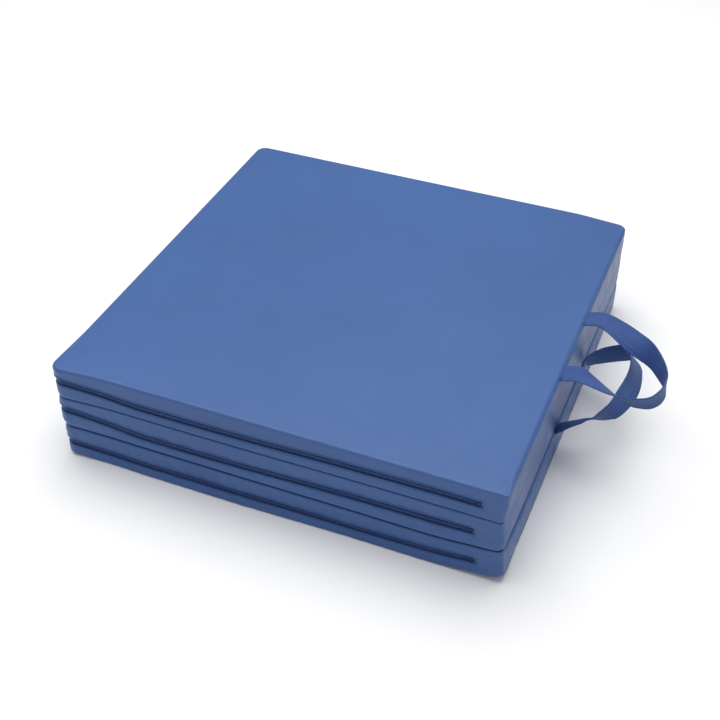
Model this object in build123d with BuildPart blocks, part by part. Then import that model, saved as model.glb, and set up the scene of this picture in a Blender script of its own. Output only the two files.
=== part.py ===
from build123d import *
import math
import os

# Tri-fold gym mat, folded in a Z: three foam panels in zipped covers, stacked on each other.
# The middle panel is hinged to the top one by a cloth spine on the right (+X) and to the
# bottom one by a cloth strip on the left (-X). Two webbing handles are sewn to the right side.
# Millimetres. +X is the handle side, -Y the front, +Z up. The origin is on the floor, at the
# centre of the bottom panel's underside.

os.makedirs("parts", exist_ok=True)

# ---- panels ----
panel_width = 600.0             # X
panel_depth = 600.0             # Y
panel_pitch = 50.0              # one panel's height in the stack
stack_gap = 0.4                 # air between stacked panels
panel_height = panel_pitch - stack_gap
corner_radius = 16.0            # in plan
edge_radius = 4.0               # rolled edge of the face and base sheets
cover = 1.0                     # thickness of the coated cloth
skirt = 7.0                     # how far a face or base sheet turns down over the side
foam_clearance = 0.3

# ---- zippers, on the front and round the front left corner ----
zip_front_end = 265.0           # X where the zipper stops, short of the front right corner
zip_left_end = -80.0            # Y where it stops on the left side
zip_half_opening = 5.5          # half the height of the slot between the two band edges
zip_depth = 6.6                 # how far the band edges turn in
tape = 0.6                      # thickness of the zipper tape
tape_parting = 0.6              # half the gap between the two tapes
coil_depth = 1.6
coil_half_height = 2.0
stop_length = 2.5
stop_half_height = 2.4
run_reach = 20.0                # plan depth of the strip that holds the zipper

# ---- zipper sliders and pull tabs ----
slider_length = 12.0            # Y
slider_half_height = 4.0
slider_plate = 1.0
slider_play = 0.2               # clearance to the coil and the tape
slider_park = 12.0              # from the zipper's end to the slider's middle
flange = 1.0
pivot_inset = 2.2               # from the side's face to the pull tab's pin
pin_radius = 0.5
eye_radius = 1.0
eye_play = 0.1
lug_inner = 1.3                 # half the gap between the two lugs
lug_outer = 2.0
tab_length = 22.0
tab_half_width = 2.6
tab_neck = 1.1                  # half the width of the eye between the lugs
tab_thickness = 0.9

# ---- fold cloths ----
fold_cloth = 0.8
fold_cloth_ends = 284.0         # half its length, up to the rounded corners
spine_reach = 42.0              # from the fold, up and down the right side
strip_reach = 16.0              # from the fold, up and down the left side
fold_cloth_start = 0.4          # from the mid plane of the fold to the cloth's edge

# ---- webbing handles ----
webbing_width = 30.0
webbing = 2.4                   # thickness
handle_wall_gap = 0.5
handle_sections = 25

PANELS = {                      # height of the zipper's centre line above the panel's underside
    "bottom": (0, 21.0),
    "middle": (1, 24.0),
    "top": (2, 21.5),
}

# Each handle's line, from its near end to its far end: distance out from the side, place along
# the side, height above its seam, and how far the webbing's outer edge is rolled up, in degrees.
upper_handle_seam = 146.6
UPPER_HANDLE = (
    (0, -66, 0, 0),
    (36, -70, 0, 18),
    (84, -91, 0, 52),
    (118, -76, 0, 80),
    (118, -28, 0, 72),
    (92, 8, 0, 32),
    (46, 47, 0, 6),
    (0, 55, 0, 0),
)
lower_handle_seam = 46.8
LOWER_HANDLE = (
    (0, -58, 0, 0),
    (30, -55, 17, 20),
    (60, -58, 38, 95),
    (76, -24, 50, 135),
    (75, 36, 50, 135),
    (58, 80, 40, 90),
    (26, 90, 18, 45),
    (0, 80, 0, 0),
)


def outline(height, inset):
    """The panel's rounded plan at a height, a given distance inside its side faces."""
    with BuildSketch(Plane.XY.offset(height)) as profile:
        RectangleRounded(panel_width - 2 * inset, panel_depth - 2 * inset, corner_radius - inset)
    return profile.sketch


def ring(height, outer, inner):
    """The plan of a wall that follows the panel's side faces, between two insets."""
    with BuildSketch(Plane.XY.offset(height)) as profile:
        RectangleRounded(panel_width - 2 * outer, panel_depth - 2 * outer, corner_radius - outer)
        RectangleRounded(
            panel_width - 2 * inner,
            panel_depth - 2 * inner,
            corner_radius - inner,
            mode=Mode.SUBTRACT,
        )
    return profile.sketch


def zipper_run(height, shorten=0.0):
    """The plan of the L-shaped strip that holds the zipper: the front and part of the left side."""
    edge_x = -panel_width / 2
    edge_y = -panel_depth / 2
    along_front = zip_front_end - shorten - edge_x
    along_left = zip_left_end - shorten - edge_y
    with BuildSketch(Plane.XY.offset(height)) as profile:
        with Locations((edge_x, edge_y)):
            Rectangle(along_front, run_reach, align=(Align.MIN, Align.MIN))
            Rectangle(run_reach, along_left, align=(Align.MIN, Align.MIN))
    return profile.sketch


def zipper_strip(height, outer, inner, shorten=0.0):
    """The part of a ring that lies along the zipper."""
    return ring(height, outer, inner) & zipper_run(height, shorten)


def finish(piece, name, colour):
    """Label a finished piece and write it as its own file."""
    piece.label = name
    piece.color = Color(colour)
    export_step(piece, f"parts/{name}.step")


def box_between(corner, opposite):
    """A block between two opposite corners."""
    size = [high - low for low, high in zip(corner, opposite)]
    with Locations(corner):
        Box(*size, align=(Align.MIN, Align.MIN, Align.MIN))


def webbing_planes(line, seam, side):
    """Planes across a twisted loop of webbing, one for each of its sections along a smooth line."""
    points = [(side + out, along, seam + height) for out, along, height, roll in line]
    path = Spline(*points, tangents=((1, 0, 0), (-1, 0, 0)))
    rolls = [roll for out, along, height, roll in line]
    planes = []
    for index in range(handle_sections):
        share = index / (handle_sections - 1)
        place = share * (len(rolls) - 1)
        first = min(int(place), len(rolls) - 2)
        blend = (1 - math.cos(math.pi * (place - first))) / 2
        roll = math.radians(rolls[first] + (rolls[first + 1] - rolls[first]) * blend)
        origin = path @ share
        ahead = (path % share).normalized()
        outward = ahead.cross(Vector(0, 0, 1)).normalized()
        upward = outward.cross(ahead)
        edge = outward * math.cos(roll) + upward * math.sin(roll)
        planes.append(Plane(origin=origin, x_dir=edge, z_dir=ahead))
    return planes


coil_inner = zip_depth - tape
coil_outer = coil_inner - coil_depth
tape_height = zip_half_opening - tape_parting
band_height = panel_height - 2 * skirt

for name, (level, zip_height) in PANELS.items():
    base = level * panel_pitch
    top = base + panel_height
    zip_middle = base + zip_height
    slot_low = zip_middle - zip_half_opening
    slot_high = zip_middle + zip_half_opening

    # Foam slab, with a channel behind the zipper.
    with BuildPart() as foam_core:
        inset = cover + foam_clearance
        extrude(outline(base + inset, inset), amount=panel_height - 2 * inset)
        flat_faces = foam_core.faces().sort_by(Axis.Z)
        fillet(flat_faces[0].edges() + flat_faces[-1].edges(), edge_radius - cover)
        channel = zipper_strip(slot_low - inset, 0, zip_depth + foam_clearance, -foam_clearance)
        extrude(channel, amount=2 * (zip_half_opening + inset), mode=Mode.SUBTRACT)
    finish(foam_core.part, f"{name}_foam_core", "lightyellow")

    # Face and base sheets: coated cloth turned over the edges of the slab.
    with BuildPart() as face_sheet:
        extrude(outline(top - skirt, 0), amount=skirt)
        fillet(face_sheet.faces().sort_by(Axis.Z)[-1].edges(), edge_radius)
        offset(amount=-cover, openings=face_sheet.faces().sort_by(Axis.Z)[0])
    finish(face_sheet.part, f"{name}_face_sheet", "steelblue")

    with BuildPart() as base_sheet:
        extrude(outline(base, 0), amount=skirt)
        fillet(base_sheet.faces().sort_by(Axis.Z)[0].edges(), edge_radius)
        offset(amount=-cover, openings=base_sheet.faces().sort_by(Axis.Z)[-1])
    finish(base_sheet.part, f"{name}_base_sheet", "steelblue")

    # Side band without a zipper, round the right, the back and the rest of the left.
    with BuildPart() as plain_band:
        extrude(ring(base + skirt, 0, cover), amount=band_height)
        extrude(zipper_run(base + skirt), amount=band_height, mode=Mode.SUBTRACT)
    finish(plain_band.part, f"{name}_plain_band", "royalblue")

    # Side bands above and below the zipper, each with its edge turned in to the tape.
    with BuildPart() as zip_band_upper:
        extrude(zipper_strip(slot_high, 0, cover), amount=top - skirt - slot_high)
        extrude(zipper_strip(slot_high, 0, zip_depth), amount=cover)
    finish(zip_band_upper.part, f"{name}_zip_band_upper", "royalblue")

    with BuildPart() as zip_band_lower:
        extrude(zipper_strip(base + skirt, 0, cover), amount=slot_low - base - skirt)
        extrude(zipper_strip(slot_low - cover, 0, zip_depth), amount=cover)
    finish(zip_band_lower.part, f"{name}_zip_band_lower", "royalblue")

    # Zipper tapes, one sewn to each band edge.
    with BuildPart() as zip_tape_upper:
        tape_low = zip_middle + tape_parting
        extrude(zipper_strip(tape_low, coil_inner, zip_depth), amount=tape_height)
    finish(zip_tape_upper.part, f"{name}_zip_tape_upper", "navy")

    with BuildPart() as zip_tape_lower:
        extrude(zipper_strip(slot_low, coil_inner, zip_depth), amount=tape_height)
    finish(zip_tape_lower.part, f"{name}_zip_tape_lower", "navy")

    # Nylon coils, closed on each other.
    coil_low = zip_middle - coil_half_height
    with BuildPart() as zip_coil_upper:
        coil_strip = zipper_strip(zip_middle, coil_outer, coil_inner, stop_length)
        extrude(coil_strip, amount=coil_half_height)
    finish(zip_coil_upper.part, f"{name}_zip_coil_upper", "black")

    with BuildPart() as zip_coil_lower:
        coil_strip = zipper_strip(coil_low, coil_outer, coil_inner, stop_length)
        extrude(coil_strip, amount=coil_half_height)
    finish(zip_coil_lower.part, f"{name}_zip_coil_lower", "black")

    # Stops at the two ends of the zipper.
    with BuildPart() as zip_stops:
        stop_low = zip_middle - stop_half_height
        stop_height = 2 * stop_half_height
        extrude(zipper_strip(stop_low, coil_outer, coil_inner), amount=stop_height)
        extrude(zipper_run(stop_low, stop_length), amount=stop_height, mode=Mode.SUBTRACT)
    finish(zip_stops.part, f"{name}_zip_stops", "gray")

    # Slider: a plate and two flanges over the coils, with two lugs and a pin for the pull tab.
    side = -panel_width / 2
    slider_y = zip_left_end - slider_park
    plate_in = side + coil_outer - slider_play
    plate_out = plate_in - slider_plate
    pin_x = side + pivot_inset
    half_length = slider_length / 2
    with BuildPart() as zip_slider:
        box_between(
            (plate_out, slider_y - half_length, zip_middle - slider_half_height),
            (plate_in, slider_y + half_length, zip_middle + slider_half_height),
        )
        for sign in (-1, 1):
            flange_z = sorted(
                zip_middle + sign * (coil_half_height + slider_play + extra)
                for extra in (0, flange)
            )
            box_between(
                (plate_out, slider_y - half_length, flange_z[0]),
                (side + coil_inner - slider_play, slider_y + half_length, flange_z[1]),
            )
            lug_z = sorted(zip_middle + sign * place for place in (lug_inner, lug_outer))
            box_between(
                (pin_x - eye_radius, slider_y - eye_radius, lug_z[0]),
                (plate_out, slider_y + eye_radius, lug_z[1]),
            )
        with BuildSketch(Plane.XY.offset(zip_middle - lug_outer)):
            with Locations((pin_x, slider_y)):
                Circle(pin_radius)
        extrude(amount=2 * lug_outer)
    finish(zip_slider.part, f"{name}_zip_slider", "darkgray")

    # Pull tab, lying along the zipper, with an eye on the slider's pin.
    with BuildPart() as pull_tab:
        with BuildSketch(Plane.XY.offset(zip_middle - tab_neck)):
            with Locations((pin_x, slider_y)):
                Circle(eye_radius - eye_play)
            with Locations((pin_x, slider_y)):
                Rectangle(
                    tab_thickness,
                    half_length + flange,
                    align=(Align.CENTER, Align.MAX),
                )
            with Locations((pin_x, slider_y)):
                Circle(pin_radius + eye_play, mode=Mode.SUBTRACT)
        extrude(amount=2 * tab_neck)
        with BuildSketch(Plane.YZ.offset(pin_x - tab_thickness / 2)):
            with Locations((slider_y - half_length, zip_middle)):
                SlotOverall(tab_length, 2 * tab_half_width, align=(Align.MAX, Align.CENTER))
            with Locations((slider_y - half_length - tab_length + tab_half_width, zip_middle)):
                Circle(tab_neck, mode=Mode.SUBTRACT)
        extrude(amount=tab_thickness)
    finish(pull_tab.part, f"{name}_pull_tab", "silver")


# ---- fold cloths: each is one cloth over the fold, in two halves that turn against each other ----
def fold_cloth_half(side, inner, outer):
    """Half a fold cloth, flat on one side of a panel, between two heights."""
    low, high = sorted((inner, outer))
    edges = sorted((side, side + math.copysign(fold_cloth, side)))
    box_between((edges[0], -fold_cloth_ends, low), (edges[1], fold_cloth_ends, high))


right_fold = 2 * panel_pitch - stack_gap / 2
left_fold = panel_pitch - stack_gap / 2
FOLD_CLOTHS = {
    "spine_upper_half": (panel_width / 2, right_fold, 1, spine_reach),
    "spine_lower_half": (panel_width / 2, right_fold, -1, spine_reach),
    "left_strip_upper_half": (-panel_width / 2, left_fold, 1, strip_reach),
    "left_strip_lower_half": (-panel_width / 2, left_fold, -1, strip_reach),
}
for name, (side, fold_height, direction, reach) in FOLD_CLOTHS.items():
    with BuildPart() as fold_half:
        fold_cloth_half(
            side,
            fold_height + direction * fold_cloth_start,
            fold_height + direction * reach,
        )
    finish(fold_half.part, name, "slateblue")


# ---- webbing handles ----
HANDLES = {
    "upper_handle": (UPPER_HANDLE, upper_handle_seam),
    "lower_handle": (LOWER_HANDLE, lower_handle_seam),
}
for name, (line, seam) in HANDLES.items():
    with BuildPart() as handle:
        for plane in webbing_planes(line, seam, panel_width / 2 + handle_wall_gap):
            with BuildSketch(plane):
                Rectangle(webbing_width, webbing)
        loft(ruled=True)
    finish(handle.part, name, "cornflowerblue")
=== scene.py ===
import math

import bmesh
import bpy
import numpy as np
from mathutils import Matrix, Vector, kdtree, noise


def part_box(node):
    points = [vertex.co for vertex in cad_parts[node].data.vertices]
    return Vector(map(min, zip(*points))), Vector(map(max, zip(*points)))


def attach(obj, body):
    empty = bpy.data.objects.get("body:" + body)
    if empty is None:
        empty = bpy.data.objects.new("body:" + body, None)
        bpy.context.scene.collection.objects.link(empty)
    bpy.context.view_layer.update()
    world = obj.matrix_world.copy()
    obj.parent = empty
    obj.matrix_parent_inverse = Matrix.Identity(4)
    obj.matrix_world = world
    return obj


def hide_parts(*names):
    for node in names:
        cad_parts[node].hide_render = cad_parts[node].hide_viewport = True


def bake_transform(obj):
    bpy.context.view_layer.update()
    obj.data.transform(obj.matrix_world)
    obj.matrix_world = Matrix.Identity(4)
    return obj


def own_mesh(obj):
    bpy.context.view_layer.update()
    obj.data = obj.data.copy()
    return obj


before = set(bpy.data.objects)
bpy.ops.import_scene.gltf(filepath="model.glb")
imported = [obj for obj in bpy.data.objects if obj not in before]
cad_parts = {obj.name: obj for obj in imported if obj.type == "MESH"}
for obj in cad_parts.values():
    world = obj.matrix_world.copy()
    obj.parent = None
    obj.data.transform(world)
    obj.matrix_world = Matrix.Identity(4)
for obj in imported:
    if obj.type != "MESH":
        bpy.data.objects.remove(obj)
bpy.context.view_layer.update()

# A tri-fold gym mat, folded in a Z: three zipped, padded panels in coated cloth, a cloth spine over the
# right fold, a cloth strip over the left fold, and two webbing handles. Metres, in the CAD frame:
# +X is the handle side, -Y the front, and the origin is on the floor under the stack's centre.

MM = 0.001
PANELS = ("bottom", "middle", "top")

# ---- places read from the frame ----
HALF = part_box("top_face_sheet")[1].x  # half of a panel's width and depth
BASE_Z = {p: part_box(f"{p}_base_sheet")[0].z for p in PANELS}
TOP_Z = {p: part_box(f"{p}_face_sheet")[1].z for p in PANELS}
ZIP_Z = {p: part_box(f"{p}_zip_coil_upper")[0].z for p in PANELS}
ZIP_RIGHT_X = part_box("top_zip_tape_upper")[1].x  # the zipper's end on the front
ZIP_LEFT_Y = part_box("top_zip_tape_upper")[1].y  # and its end on the left side
RIGHT_FOLD_Z = (BASE_Z["top"] + TOP_Z["middle"]) / 2
LEFT_FOLD_Z = (BASE_Z["middle"] + TOP_Z["bottom"]) / 2
SPINE_LOW, SPINE_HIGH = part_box("spine_lower_half")[0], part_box("spine_upper_half")[1]
STRIP_LOW, STRIP_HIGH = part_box("left_strip_lower_half")[0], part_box("left_strip_upper_half")[1]

# ---- how the cover is cut ----
CORNER = 16 * MM  # plan radius of a panel's corners
REACH = HALF - CORNER
ROLL = {"bottom": 2.6 * MM, "middle": 2.6 * MM, "top": 2.4 * MM}  # radius of the rolled edges
TOP_ROLL = 5.0 * MM  # the uppermost edge, which nothing presses
GRID = 6 * MM
WALL_STEP = 3.2 * MM
FINE = 1.4 * MM  # the grid within FINE_REACH of the zipper's ends
FINE_REACH = 5 * MM
ARC_STEPS = 8
STRAIGHT = 2 * REACH
SIDE_STEP = STRAIGHT + math.pi / 2 * CORNER

# lengths along the outline, from the right end of the front; each zipper stops a little short of its tape
ZIP_START = {p: REACH - ZIP_RIGHT_X + short for p, short in
             (("bottom", 7.5 * MM), ("middle", 6.5 * MM), ("top", 2.5 * MM))}
ZIP_END = SIDE_STEP + ZIP_LEFT_Y + REACH
END_TAPER = 3 * MM  # over which the slot opens at its ends
HEM = 7.4 * MM  # from the zipper's middle to its rows of stitches
FRONT_DEPTH = 2.4 * MM  # how deep the tape lies under the lips on the front
LEFT_DEPTH = 6.0 * MM  # and on the left, where the slider runs
DEEPENS = (-14 * MM, 16 * MM)  # where it gets deeper, from the left side's start


def smooth(t):
    t = np.clip(t, 0, 1)
    return t * t * (3 - 2 * t)


def ramp(value, start, length):
    """Rises from 0 at start to 1 a length further on."""
    return smooth((value - start) / length)


def fade(value, start, length):
    return 1 - ramp(value, start, length)


def hump(value, middle, width):
    return np.exp(-((value - middle) / width) ** 2)


def outline_at(s):
    """Core point and outward normal at lengths s along a panel's outline, clockwise from the front's right end.
    The cover's surface at inset d is core + normal * (CORNER - d)."""
    s = np.asarray(s, float) % (4 * SIDE_STEP)
    side = np.floor(s / SIDE_STEP)
    along = s - side * SIDE_STEP
    heading = math.pi - side * math.pi / 2
    ahead = np.stack([np.cos(heading), np.sin(heading)], -1)
    across = np.stack([-np.sin(heading), np.cos(heading)], -1)
    core = (across - ahead) * REACH + ahead * np.minimum(along, STRAIGHT)[..., None]
    facing = heading + math.pi / 2 - np.maximum(along - STRAIGHT, 0) / CORNER
    return core, np.stack([np.cos(facing), np.sin(facing)], -1)


def on_outline(s, inset, z):
    """Points at lengths s, insets and heights."""
    core, normal = outline_at(s)
    flat = core + normal * (CORNER - np.asarray(inset))[..., None]
    return np.concatenate([flat, np.broadcast_to(z, flat.shape[:-1])[..., None]], -1)


def tape_depth(s):
    """How deep the zipper's tape lies at length s. On the left it makes up for the corner's bulge, so that the
    slider and the tab run clear of it."""
    bulge = -PUSH.x * fade(s - SIDE_STEP, -CORNER, PUSH_REACH)
    return FRONT_DEPTH + (LEFT_DEPTH + bulge - FRONT_DEPTH) * ramp(s - SIDE_STEP, *DEEPENS)


def slot_share(s, panel):
    """1 where the zipper's slot is open, 0 beyond its ends."""
    return ramp(s - ZIP_START[panel], -END_TAPER, END_TAPER) * fade(s - ZIP_END, 0, END_TAPER)


# ======== How the padding sits in the photograph. A pair is (start, length) of a ramp or a fade ========
# the zipper pulls the front wall in, by PULL within PULL_BAND of it, and less above and below that
PULL = 1.3 * MM
PULL_BAND = 8 * MM
PULL_BELOW, PULL_ABOVE = 12 * MM, 19 * MM
PULL_DEPTH = (10 * MM, 25 * MM)
# how far each zipper strays from its cut height along the front: (x, rise)
WAVES = {
    "bottom": ((-0.300, 0.0), (-0.200, -1.8 * MM), (0.100, -0.5 * MM), (0.230, 2.2 * MM)),
    "middle": ((-0.300, 5.5 * MM), (-0.170, -6.0 * MM), (0.200, 0.0)),
    "top": ((-0.300, 5.0 * MM), (-0.170, -4.6 * MM), (0.210, -1.0 * MM)),
}
WAVE_BAND = 8.6 * MM  # the cloth this close to the zipper moves with it
WAVE_LOW, WAVE_HIGH = 3 * MM, 4 * MM  # and this much at the wall's foot and head doesn't move
WAVE_DEPTH = (8 * MM, 22 * MM)
# how far each face pulls away from its neighbour at the panel's edge: (base face, top face)
PARTING = {"bottom": (0.0, 1.0 * MM), "middle": (1.0 * MM, 0.35 * MM), "top": (0.35 * MM, 0.0)}
PARTING_REACH = 22 * MM
PARTING_RIGHT = (-20 * MM, 20 * MM)  # it doubles at the right side
SKIN = 11 * MM  # how far below a face its movement is felt
# the top face: how far it falls towards its edges, at its back right corner, and in the crease at the front right
CROWN, CROWN_REACH = 0.9 * MM, 38 * MM
DROOP, DROOP_REACH = 4.6 * MM, 80 * MM
CREASE, CREASE_IN, CREASE_WIDTH = 0.9 * MM, 8 * MM, 2.4 * MM
CREASE_REACH = (14 * MM, 18 * MM)
# the bottom panel's right side stands out further than the two above it, which the spine holds together
OUTWARD = 3.4 * MM
OUTWARD_X = (-150 * MM, 150 * MM)
OUTWARD_BACK, OUTWARD_Y = 0.75, (100 * MM, 180 * MM)
TUCK_BELOW, TUCK_ABOVE = 1.5, 0.6 * MM  # the cloth's dip at the lower fold, as a share and a depth
TUCK_HEIGHT = 4.5 * MM
# the middle panel is thickest at the front right, between its thinner neighbours
FAT = 2.6 * MM
FAT_X, FAT_Y = (-100 * MM, 350 * MM), (0, 150 * MM)
# the bottom panel's front right corner curls up and squeezes the middle panel
LIFT = 10.5 * MM
LIFT_REACH, LIFT_POWER = 105 * MM, 2.2
LIFT_UNDER = 0.55  # how much more its underside lifts
SHARP = {-1: 0.33, 1: 0.8}  # the right corners' radius, front and back, as a share of the left ones'
SHARP_REACH = 50 * MM
CORNER_OUT, CORNER_TALL = 4.4 * MM, 45 * MM  # the foot of that corner sticks out
CORNER_IN, CORNER_WAIST = 3.6 * MM, 17 * MM  # and it is drawn in at the upper fold
CORNER_REACH = 60 * MM
EAR, EAR_REACH = 1.6 * MM, 40 * MM  # while the top's corner sticks out again
# the front left corners bulge out, pinched in at the seams, and the lower ones are a little off the floor
PUSH = Vector((-3.2 * MM, -4.6 * MM))
PUSH_REACH = 90 * MM
PUSH_LOW, PUSH_Z = 0.4, (25 * MM, 35 * MM)  # the lowest panel's share of the bulge to the left
PINCHES = ((LEFT_FOLD_Z, 3.6 * MM), (RIGHT_FOLD_Z, 1.8 * MM))
PINCH_X, PINCH_Y, PINCH_HEIGHT = 0.92, 0.38, 5.5 * MM
LEFT_LIFT = 3.4 * MM
LEFT_LIFT_Y, LEFT_LIFT_REACH = (-292 * MM, 30 * MM), 75 * MM
# the front sags outwards to the right of them
SAG = 3.0 * MM
SAG_IN, SAG_OUT = (-290 * MM, 120 * MM), (-60 * MM, 180 * MM)
SAG_DEPTH, SAG_TALL = 60 * MM, 125 * MM


def from_corner(x, y, x_side, y_side):
    """Distances in from the two sides that meet at a corner, and from the corner itself."""
    a, b = HALF - x * x_side, HALF - y * y_side
    return a, b, np.hypot(a, b)


def stray(x, y, z, panel):
    """How far the front wall's points rise with the zipper. The wall's rolled edges stay."""
    knots = WAVES[panel]
    rise = knots[0][1]
    for (start, low), (end, high) in zip(knots, knots[1:]):
        rise = rise + (high - low) * ramp(x, start, end - start)
    low, high = BASE_Z[panel] + WAVE_LOW, TOP_Z[panel] - WAVE_HIGH
    below = (z - low) / (ZIP_Z[panel] - WAVE_BAND - low)
    above = (high - z) / (high - ZIP_Z[panel] - WAVE_BAND)
    return rise * np.clip(np.minimum(below, above), 0, 1) * fade(y + HALF, *WAVE_DEPTH)


def settle_panel(x, y, z, panel):
    """Moves a panel's own points: the front wall with its zipper, and the two faces."""
    edge = HALF - np.maximum(abs(x), abs(y))
    off_zip = abs(z - ZIP_Z[panel]) - PULL_BAND
    pulled = 1 - off_zip / np.where(z > ZIP_Z[panel], PULL_ABOVE, PULL_BELOW)
    y += PULL * np.clip(pulled, 0, 1) * fade(y + HALF, *PULL_DEPTH)
    z += stray(x, y, z, panel)
    rim = fade(edge, 0, PARTING_REACH) * (1 + ramp(x - HALF, *PARTING_RIGHT))
    base_share = np.clip(1 - (z - BASE_Z[panel]) / SKIN, 0, 1)
    top_share = np.clip(1 - (TOP_Z[panel] - z) / SKIN, 0, 1)
    z += PARTING[panel][0] * rim * base_share - PARTING[panel][1] * rim * top_share
    if panel == "top":
        crown = CROWN * fade(edge, 0, CROWN_REACH)
        droop = DROOP * fade(from_corner(x, y, 1, 1)[2], 0, DROOP_REACH)
        crease = CREASE * hump(edge, CREASE_IN, CREASE_WIDTH) * fade(from_corner(x, y, 1, -1)[2], *CREASE_REACH)
        z -= (crown + droop + crease) * top_share


def settle(points, panel=None):
    """How the cloth and foam sit: points of a panel, moved from the neat shape they were cut to."""
    points = np.array(points, float)
    x, y, z = (points[..., axis] for axis in range(3))  # views, so moving them moves the points
    if panel is not None:
        settle_panel(x, y, z, panel)
    above = z - LEFT_FOLD_Z
    tuck = hump(above, 0, TUCK_HEIGHT)
    outward = ramp(x - HALF, *OUTWARD_X) * (1 - OUTWARD_BACK * ramp(y, *OUTWARD_Y))
    x += outward * np.where(above < 0, OUTWARD * (1 - TUCK_BELOW * tuck), -TUCK_ABOVE * tuck)
    fat = ramp(x, *FAT_X) * fade(y + HALF, *FAT_Y)
    z -= FAT * fat * np.sin(2 * math.pi * np.clip(z / TOP_Z["top"], 0, 1))
    share = np.clip(1 - from_corner(x, y, 1, -1)[2] / LIFT_REACH, 0, 1) ** LIFT_POWER
    squeeze = fade(z, TOP_Z["bottom"], TOP_Z["middle"] - TOP_Z["bottom"])
    z += LIFT * share * (squeeze + LIFT_UNDER * np.clip(1 - z / TOP_Z["bottom"], 0, 1))
    for y_side in (-1, 1):
        a, b, far = from_corner(x, y, 1, y_side)
        tighten = (1 - SHARP[y_side]) * fade(far, CORNER, SHARP_REACH - CORNER)
        x += a * tighten
        y += b * tighten * y_side
    corner = fade(from_corner(x, y, 1, -1)[2], 0, CORNER_REACH)
    x += CORNER_OUT * corner * np.clip(1 - z / CORNER_TALL, 0, 1)
    x -= CORNER_IN * corner * hump(z, RIGHT_FOLD_Z, CORNER_WAIST)
    far = from_corner(x, y, -1, -1)[2]
    pinch = sum(depth * hump(z, fold_z, PINCH_HEIGHT) for fold_z, depth in PINCHES)
    near = fade(far, 0, PUSH_REACH)
    x += (PUSH.x * (PUSH_LOW + (1 - PUSH_LOW) * ramp(z, *PUSH_Z)) + PINCH_X * pinch) * near
    y += (PUSH.y + PINCH_Y * pinch) * near
    z += LEFT_LIFT * fade(y, *LEFT_LIFT_Y) * fade(far, 0, LEFT_LIFT_REACH) * np.clip(1 - z / TOP_Z["middle"], 0, 1)
    y -= SAG * ramp(x, *SAG_IN) * fade(x, *SAG_OUT) * fade(y + HALF, 0, SAG_DEPTH) * np.clip(1 - z / SAG_TALL, 0, 1)
    ear = fade(from_corner(x, y, 1, -1)[2], 0, EAR_REACH)
    x += EAR * ear * np.clip(z / TOP_Z["top"], 0, 1)
    return points


def mesh_object(name, points, faces):
    mesh = bpy.data.meshes.new(name)
    mesh.from_pydata(np.asarray(points).tolist(), [], faces)
    mesh.validate()
    obj = bpy.data.objects.new(name, mesh)
    bpy.context.scene.collection.objects.link(obj)
    tidy = bmesh.new()
    tidy.from_mesh(mesh)
    bmesh.ops.recalc_face_normals(tidy, faces=tidy.faces)
    tidy.to_mesh(mesh)
    tidy.free()
    mesh.polygons.foreach_set("use_smooth", [True] * len(mesh.polygons))
    return obj


def tube_faces(count, sides, capped=True):
    """Faces of a tube of count rings, with as many points as sides in each."""
    faces = [(a * sides + b, a * sides + (b + 1) % sides, (a + 1) * sides + (b + 1) % sides, (a + 1) * sides + b)
             for a in range(count - 1) for b in range(sides)]
    return faces + [tuple(range(sides)), tuple(range((count - 1) * sides, count * sides))] if capped else faces


def grid_faces(rows, columns, first=0):
    """Faces of a grid of points, numbered row by row from the first."""
    corners = [first + i * columns + j for i in range(rows - 1) for j in range(columns - 1)]
    return [(v, v + columns, v + columns + 1, v + 1) for v in corners]


def point_attribute(obj, name, values, kind="FLOAT"):
    found = obj.data.attributes.new(name, kind, "POINT")
    key = "vector" if kind == "FLOAT_VECTOR" else "value"
    found.data.foreach_set(key, np.asarray(values, np.float32).ravel())


def stations(fine_at, grid):
    """Places along a straight side, closer together where the zipper ends."""
    found = [-REACH]
    while found[-1] < REACH - grid:
        near = abs(found[-1] - fine_at) < FINE_REACH
        found.append(found[-1] + (min(FINE, grid) if near else grid))
    return np.array(found + [REACH])


def edge_rows(radius, steps):
    """(height, inset) up a rolled edge that stands on the base."""
    turns = [math.pi / 2 * i / steps for i in range(steps + 1)]
    return [(radius - radius * math.cos(a), radius - radius * math.sin(a)) for a in turns]


FACE_ROWS = (12 * MM, 8 * MM, 5 * MM)  # insets of the rows where the side runs into a face
FACE_WEAR = 0.4  # the wear there, where an edge's is 1
# from the hem down the lip to the plane behind the tape, in millimetres from the zipper's middle:
# (height, slot height, slot inset, share of the tape's depth, wear)
LIP = (
    (9.6, 9.6, 0, 0, 0), (8.7, 8.7, -0.12, 0, 0), (7.9, 8.0, -0.1, 0, 0.1), (7.2, 7.4, 0.3, 0, 0),
    (6.5, 6.8, -0.1, 0, 0.4), (5.8, 6.2, -0.25, 0, 0.8), (5.2, 5.75, -0.1, 0, 1), (4.6, 5.5, 0.35, 0, 0.6),
    (4.0, 5.4, 1.0, 0, 0), (3.2, 5.4, 0.5, 0.6, 0), (2.4, 5.4, 0.9, 1, 0), (1.2, 2.7, 0.9, 1, 0),
)
BEHIND_TAPE = 0.9 * MM
# above the coil the slot is deeper under a fuller lip, so a dark line shows there
UPPER_DEEPER, UPPER_FULLER = 1.6, 0.65


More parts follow.
